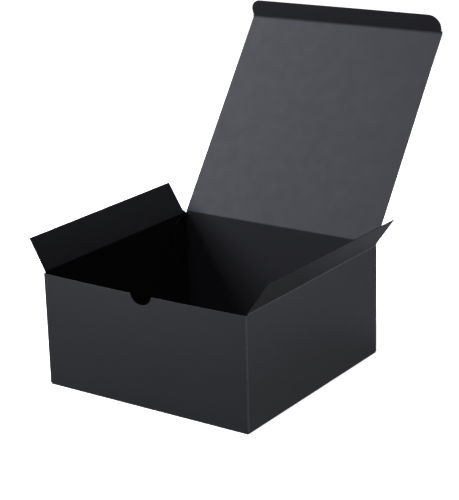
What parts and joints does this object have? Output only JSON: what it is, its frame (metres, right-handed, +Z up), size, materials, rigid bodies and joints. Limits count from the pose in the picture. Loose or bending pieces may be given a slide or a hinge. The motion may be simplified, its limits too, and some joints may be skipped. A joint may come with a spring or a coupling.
{
  "type": "folding carton gift box",
  "caption": "Square folding-carton gift box, standing open: hinged lid with a round-cornered tuck flap, dust flaps, thumb notch and snap-lock bottom.",
  "frame": {"origin": "middle of the base, on the surface the box stands on", "axes": "+Z up; the front wall with the thumb notch faces -Y; the lid is hinged on the back wall at +Y; +X is to the right seen from the front"},
  "size_m": [0.2393, 0.323, 0.281],
  "materials": {
    "outer_board": "matte coated black paperboard",
    "inner_board": "matte black paperboard, inside face",
    "creased_board": "black paperboard, polished by the crease",
    "dried_glue": "dried cold glue"
  },
  "bodies": {
    "box": {"front_wall": "outer_board", "right_wall": "outer_board", "back_wall": "outer_board", "left_wall": "outer_board", "glue_tab": "inner_board", "glue_line": "dried_glue", "front_left_crease": "creased_board", "front_right_crease": "creased_board", "back_right_crease": "creased_board", "seam_crease": "creased_board", "bottom_back_flap": "inner_board", "bottom_left_flap": "inner_board", "bottom_right_flap": "inner_board", "bottom_front_flap": "outer_board", "bottom_front_crease": "creased_board", "bottom_left_crease": "creased_board", "bottom_right_crease": "creased_board", "bottom_back_crease": "creased_board", "lid_crease": "creased_board", "left_dust_crease": "creased_board", "right_dust_crease": "creased_board"},
    "lid": {"lid_panel": "inner_board", "tuck_crease": "creased_board"},
    "tuck": {"tuck_flap": "outer_board"},
    "left_dust": {"left_dust_flap": "inner_board"},
    "right_dust": {"right_dust_flap": "inner_board"}
  },
  "joints": [
    {"name": "lid_hinge", "type": "hinge", "parent": "box", "child": "lid", "pos_m": [0, 0.10135, 0.10135], "axis": [-1, 0, 0], "range_deg": [-126.3, 73.7]},
    {"name": "tuck_hinge", "type": "hinge", "parent": "lid", "child": "tuck", "pos_m": [0, 0.22091, 0.26411], "axis": [1, 0, 0], "range_deg": [-57, 53]},
    {"name": "left_dust_hinge", "type": "hinge", "parent": "box", "child": "left_dust", "pos_m": [-0.10135, 0, 0.1003], "axis": [0, -1, 0], "range_deg": [-126, 79]},
    {"name": "right_dust_hinge", "type": "hinge", "parent": "box", "child": "right_dust", "pos_m": [0.10135, 0, 0.1003], "axis": [0, 1, 0], "range_deg": [-124, 81]}
  ]
}
